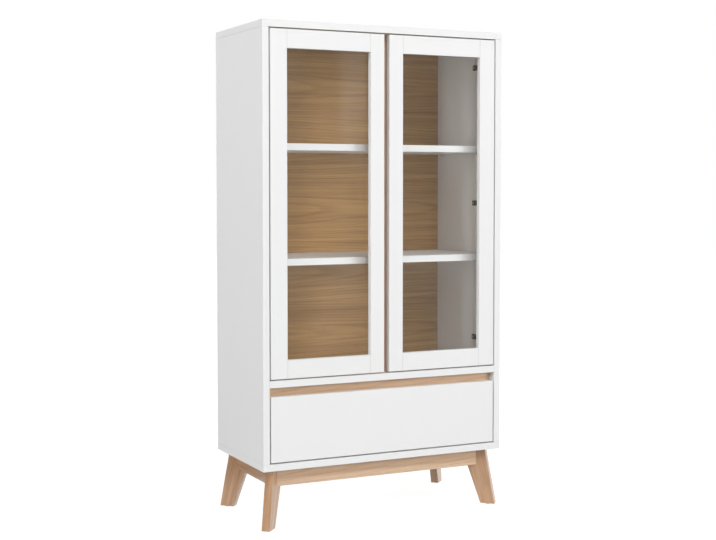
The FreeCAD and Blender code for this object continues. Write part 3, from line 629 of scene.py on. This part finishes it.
class BUFFET_OT_oak(Operator):
    """Gives every oak board its grain, along its length"""

    bl_idname = "buffet.oak"
    bl_label = "Oak boards"

    def execute(self, context):
        settings = context.scene.buffet.oak
        axes = {"X": Vector((1, 0, 0)), "Y": Vector((0, 1, 0)), "Z": Vector((0, 0, 1))}
        for name, axis in oak_grain_axes.items():
            face = axes["X"] if axis == "Y" else axes["Y"]
            # Paler tone on the front boards, partly painted light and sheen.
            pale_and_lit = name in pale_and_lit_oak
            light = settings.pale_and_lit_light if pale_and_lit else settings.light
            dark = settings.pale_and_lit_dark if pale_and_lit else settings.dark
            dress(name, oak_finish(name, axes[axis], face, settings, light, dark))
        for name, (x_sign, y_sign) in leg_corners.items():
            outward = Vector((x_sign, y_sign, 0)).normalized()
            along = math.cos(settings.leg_lean) * axes["Z"] - math.sin(settings.leg_lean) * outward
            face = outward.cross(axes["Z"])
            dress(name, oak_finish(name, along, face, settings, settings.light, settings.dark))
        return {"FINISHED"}


class BUFFET_OT_back(Operator):
    """Gives the back panel its veneer"""

    bl_idname = "buffet.back"
    bl_label = "Back panel"

    def execute(self, context):
        for name in slot_nodes["oak_veneer"]:
            dress(name, back_finish(name, context.scene.buffet.veneer))
        return {"FINISHED"}


class BUFFET_OT_panes(Operator):
    """Gives the door panes their glass"""

    bl_idname = "buffet.panes"
    bl_label = "Door panes"

    def execute(self, context):
        made = glass_finish(context.scene.buffet.glass)
        for name in slot_nodes["glass"]:
            dress(name, made)
        return {"FINISHED"}


class BUFFET_OT_fittings(Operator):
    """Gives the hinges, screws, cams, runners, rollers, clips, dowels and glides their finish"""

    bl_idname = "buffet.fittings"
    bl_label = "Fittings"

    def execute(self, context):
        metal = context.scene.buffet.metal
        small = context.scene.buffet.small
        finishes = {
            "hinge_steel": grit_finish("dark nickel", metal.hinge, metal.grit,
                                       shade_share=0.7, roughness=0.32, depth=0.00001, metallic=1.0),
            "screw_steel": grit_finish("zinc plate", metal.screw, metal.grit,
                                       shade_share=0.75, roughness=0.34, depth=0.00001, metallic=1.0),
            "cam_zinc": grit_finish("cast zinc", metal.cam, metal.grit,
                                    shade_share=0.7, roughness=0.48, depth=0.00003, metallic=1.0),
            "runner_steel": grit_finish("powder coat", metal.runner, metal.grit,
                                        shade_share=0.92, roughness=0.45, depth=0.00004),
            "nylon": grit_finish("natural nylon", small.nylon, small.grain,
                                 shade_share=0.9, roughness=0.42, depth=0.00002),
            "clear_plastic": grit_finish("white plastic", small.clip, small.grain,
                                         shade_share=0.92, roughness=0.35, depth=0.00002),
            "beech": grit_finish("beech", small.beech, small.grain,
                                 shade_share=0.75, roughness=0.6, depth=0.00005),
            "dark_plastic": grit_finish("black plastic", small.glide, small.grain,
                                        shade_share=0.7, roughness=0.5, depth=0.00003),
        }
        for slot, made in finishes.items():
            for name in slot_nodes[slot]:
                dress(name, made)
        return {"FINISHED"}


# Stage

def seen_rays(tree):
    """1 for a ray that shows the background, straight, in gloss or through glass, and 0 for light."""
    ray = tree.nodes.new("ShaderNodeLightPath").outputs
    shown = maths(tree, "ADD", ray["Is Camera Ray"], ray["Is Glossy Ray"])
    total = maths(tree, "ADD", shown, ray["Is Transmission Ray"])
    return maths(tree, "MINIMUM", total, 1.0)


def floor_mesh(radius, rings=24, spokes=96):
    """Flat disc: radius times the ring's share along the angle of each spoke, with a fan at the middle."""
    share_out = np.linspace(0, 1, rings + 1)[1:] ** 2
    turn = np.linspace(0, 2 * np.pi, spokes, endpoint=False)
    x = radius * np.outer(share_out, np.cos(turn)).ravel()
    y = radius * np.outer(share_out, np.sin(turn)).ravel()
    points = np.column_stack((x, y, np.zeros_like(x)))
    points = np.vstack((np.zeros((1, 3)), points))
    ring, spoke = np.meshgrid(np.arange(rings - 1), np.arange(spokes), indexing="ij")
    after = (spoke + 1) % spokes
    first = 1 + ring * spokes
    quads = np.stack((first + spoke, first + spokes + spoke, first + spokes + after, first + after), -1)
    around = np.arange(spokes)
    fan = np.column_stack((np.zeros_like(around), 1 + around, 1 + (around + 1) % spokes))
    mesh = bpy.data.meshes.new("floor")
    mesh.from_pydata(points.tolist(), [], quads.reshape(-1, 4).tolist() + fan.tolist())
    return mesh


def floor_finish(settings):
    """Matt floor that is lifted to white where it is seen, and keeps the shadow."""
    speck_scale = (9, 9, 9)
    made, tree, shader, place = material("pale floor")
    speck = noise(tree, place, speck_scale, detail=3.0)
    tone = tuple(value * settings.floor_speck for value in settings.floor)
    tree.links.new(blend(tree, speck, opaque(settings.floor), opaque(tone)), shader.inputs["Base Color"])
    shader.inputs["Roughness"].default_value = settings.floor_roughness
    shader.inputs["Specular IOR Level"].default_value = 0.0
    shader.inputs["Emission Color"].default_value = opaque((1, 1, 1))
    lift = maths(tree, "MULTIPLY", seen_rays(tree), settings.floor_lift)
    tree.links.new(lift, shader.inputs["Emission Strength"])
    return made


def white_world(settings):
    """World that is white where it is seen, and lights the object softly, less from overhead."""
    world = bpy.data.worlds.new("white surround")
    world.use_nodes = True
    tree = world.node_tree
    direction = tree.nodes.new("ShaderNodeTexCoord").outputs["Generated"]
    upward = node(tree, "ShaderNodeSeparateXYZ", {"Vector": direction}).outputs["Z"]
    light = node(tree, "ShaderNodeMapRange", {"Value": upward, "To Min": settings.ambient,
                                              "To Max": settings.ambient * settings.overhead})
    level = node(tree, "ShaderNodeMapRange", {"Value": seen_rays(tree), "To Min": light.outputs["Result"],
                                              "To Max": 1.0})
    backdrop = tree.nodes["Background"]
    backdrop.inputs["Color"].default_value = opaque((1, 1, 1))
    tree.links.new(level.outputs["Result"], backdrop.inputs["Strength"])
    return world


def add_lamp(name, place, aim, size, watts):
    """Square soft lamp, aimed at a point."""
    lamp = bpy.data.lights.new(name, "AREA")
    lamp.size = size
    lamp.energy = watts
    holder = bpy.data.objects.new(name, lamp)
    holder.location = place
    holder.rotation_euler = (Vector(aim) - Vector(place)).to_track_quat("-Z", "Y").to_euler()
    holder.visible_glossy = False
    holder.visible_transmission = False
    bpy.context.scene.collection.objects.link(holder)


def room_mesh(settings, columns=72):
    """Dim floor and wall: a profile out along the floor and up, carried round from left to right."""
    turn = np.linspace(-settings.wall_left, settings.wall_right, columns + 1)
    out = np.array((settings.wall_inner, settings.wall_radius, settings.wall_radius))
    up = np.array((settings.wall_lift, settings.wall_lift, settings.wall_height))
    x = np.outer(np.sin(turn), out).ravel()
    y = np.outer(-np.cos(turn), out).ravel()
    z = np.tile(up, columns + 1)
    column, level = np.meshgrid(np.arange(columns), np.arange(len(out) - 1), indexing="ij")
    first = (column * len(out) + level).ravel()
    after = first + len(out)
    faces = np.column_stack((first, after, after + 1, first + 1))
    mesh = bpy.data.meshes.new("room wall")
    mesh.from_pydata(np.column_stack((x, y, z)).tolist(), [], faces.tolist())
    return mesh


def room_finish(settings):
    """Dim wall with soft upright windows, for the panes to reflect."""
    uneven_scale = (1.1, 1.1, 0.7)
    uneven_edge = (0.35, 0.65)
    made, tree, shader, place = material("dim wall")
    parts = node(tree, "ShaderNodeSeparateXYZ", {"Vector": place}).outputs
    turn = maths(tree, "ARCTAN2", parts["X"], maths(tree, "MULTIPLY", parts["Y"], -1.0))
    phase = maths(tree, "FRACT", maths(tree, "DIVIDE", turn, settings.window_step))
    across = maths(tree, "MULTIPLY", ramp(tree, phase, *window_start_shares),
                   ramp(tree, phase, *window_end_shares, 1.0, 0.0))
    upward = maths(tree, "MULTIPLY", ramp(tree, parts["Z"], *window_foot),
                   ramp(tree, parts["Z"], *window_head, 1.0, 0.0))
    uneven = ramp(tree, noise(tree, place, uneven_scale), *uneven_edge)
    pane = maths(tree, "MULTIPLY", maths(tree, "MULTIPLY", across, upward), uneven)
    light = blend(tree, pane, opaque(settings.wall), opaque(settings.window))
    shader.inputs["Base Color"].default_value = opaque((0, 0, 0))
    shader.inputs["Specular IOR Level"].default_value = 0.0
    tree.links.new(light, shader.inputs["Emission Color"])
    shader.inputs["Emission Strength"].default_value = settings.window_power
    return made


def add_camera(settings):
    """Camera at the front left, turned to the right and a little down."""
    camera = bpy.data.cameras.new("camera")
    camera.lens = settings.camera_lens
    camera.shift_y = settings.camera_shift
    holder = bpy.data.objects.new("camera", camera)
    holder.location = settings.camera_place
    holder.rotation_euler = Euler((math.pi / 2 - settings.camera_tilt, 0, -settings.camera_turn))
    bpy.context.scene.collection.objects.link(holder)
    bpy.context.scene.camera = holder


class BUFFET_OT_stage(Operator):
    """Sets the floor, the light and the camera"""

    bl_idname = "buffet.stage"
    bl_label = "Stage"

    def execute(self, context):
        scene = context.scene
        settings = scene.buffet.stage
        floor = bpy.data.objects.new("floor", floor_mesh(settings.floor_radius))
        floor.data.materials.append(floor_finish(settings))
        scene.collection.objects.link(floor)
        wall = bpy.data.objects.new("room_wall", room_mesh(settings))
        wall.data.materials.append(room_finish(settings))
        wall.visible_camera = False
        wall.visible_diffuse = False
        wall.visible_transmission = False
        wall.visible_shadow = False
        scene.collection.objects.link(wall)
        scene.world = white_world(settings)
        centre = (cad_box[0] + cad_box[1]) / 2
        add_lamp("key lamp", settings.key_place, centre, settings.key_size, settings.key_power)
        add_lamp("front lamp", settings.front_place, centre, settings.front_size, settings.front_power)
        add_lamp("fill lamp", settings.fill_place, centre, settings.fill_size, settings.fill_power)
        add_camera(settings)
        scene.view_settings.view_transform = "Standard"
        return {"FINISHED"}


steps = (BUFFET_OT_boards, BUFFET_OT_oak, BUFFET_OT_back, BUFFET_OT_panes, BUFFET_OT_fittings,
         BUFFET_OT_stage)


class BUFFET_PT_panel(Panel):
    """Lists the steps and the settings of the buffet"""

    bl_idname = "BUFFET_PT_panel"
    bl_label = "Kitchen Buffet"
    bl_space_type = "VIEW_3D"
    bl_region_type = "UI"
    bl_category = "Buffet"

    def draw(self, context):
        for step in steps:
            self.layout.operator(step.bl_idname)
        for part in BuffetSettings.__annotations__:
            settings = getattr(context.scene.buffet, part)
            box = self.layout.box()
            for field in settings.__annotations__:
                box.prop(settings, field)


classes = (BoardSettings, OakSettings, VeneerSettings, GlassSettings, MetalSettings, SmallSettings,
           StageSettings, BuffetSettings, *steps, BUFFET_PT_panel)


def register():
    """Registers the classes and the settings."""
    for item in classes:
        bpy.utils.register_class(item)
    bpy.types.Scene.buffet = PointerProperty(name="Buffet", description="Settings of the buffet",
                                             type=BuffetSettings)


def unregister():
    """Removes the settings and the classes."""
    del bpy.types.Scene.buffet
    for item in reversed(classes):
        bpy.utils.unregister_class(item)


def main():
    """Builds the looks step by step."""
    register()
    bpy.ops.buffet.boards()
    bpy.ops.buffet.oak()
    bpy.ops.buffet.back()
    bpy.ops.buffet.panes()
    bpy.ops.buffet.fittings()
    bpy.ops.buffet.stage()


if __name__ == "__main__":
    main()
